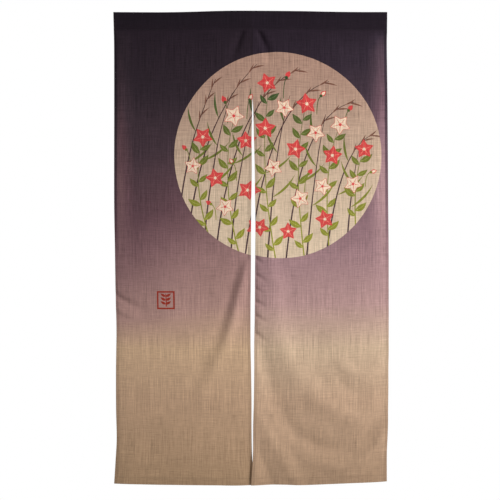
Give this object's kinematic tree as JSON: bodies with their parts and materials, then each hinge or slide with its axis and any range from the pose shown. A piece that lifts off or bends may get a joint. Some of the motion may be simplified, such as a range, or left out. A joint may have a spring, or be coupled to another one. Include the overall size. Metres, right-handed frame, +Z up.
{
  "type": "noren curtain",
  "caption": "Long split door curtain of dyed slub cloth: two cloths seamed at the top centre, a sewn rod pocket, a centre slit and narrow hems.",
  "frame": {"origin": "middle of the top edge, where the rod pocket hangs", "axes": "+X to the right of someone who faces the printed side, -Y towards them, +Z up"},
  "size_m": [0.8625, 0.0295, 1.486],
  "materials": {
    "heading_left": "matt slub weave, dark aubergine",
    "heading_right": "matt slub weave, dark aubergine",
    "cloth_left": "matt slub weave, aubergine shading to tan",
    "cloth_right": "matt slub weave, aubergine shading to tan"
  },
  "bodies": {
    "root": {"heading_left": "heading_left", "heading_right": "heading_right", "cloth_left": "cloth_left", "cloth_right": "cloth_right"}
  },
  "joints": []
}
